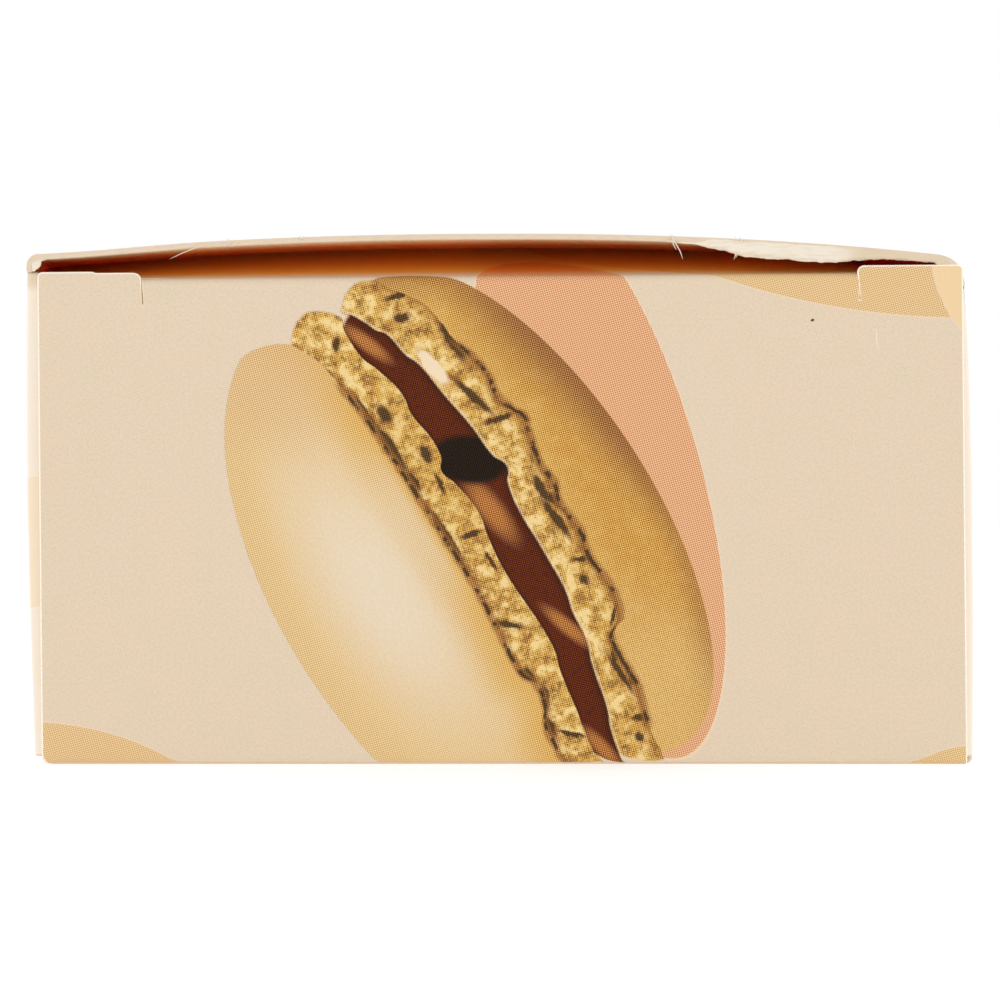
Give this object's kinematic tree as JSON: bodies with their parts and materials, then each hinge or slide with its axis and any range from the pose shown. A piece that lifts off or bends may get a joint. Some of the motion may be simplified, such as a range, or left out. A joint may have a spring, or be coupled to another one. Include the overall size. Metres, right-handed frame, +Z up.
{
  "type": "folding carton for macarons",
  "caption": "Shut folding carton for macarons: a low oblong box of printed board, its lid bowed over a tuck-in closure with slit-lock ears at each end.",
  "frame": {"origin": "on the surface the box stands on, under the middle of the box", "axes": "+Z up, +Y along the length of the box, the end seen in the picture at -Y, +X to that view's right"},
  "size_m": [0.0736, 0.13, 0.041],
  "materials": {
    "printed_board": "white-lined folding boxboard, offset printed in beige, coral and mustard, with a matt dispersion varnish"
  },
  "bodies": {
    "root": {"carton": "printed_board"}
  },
  "joints": []
}
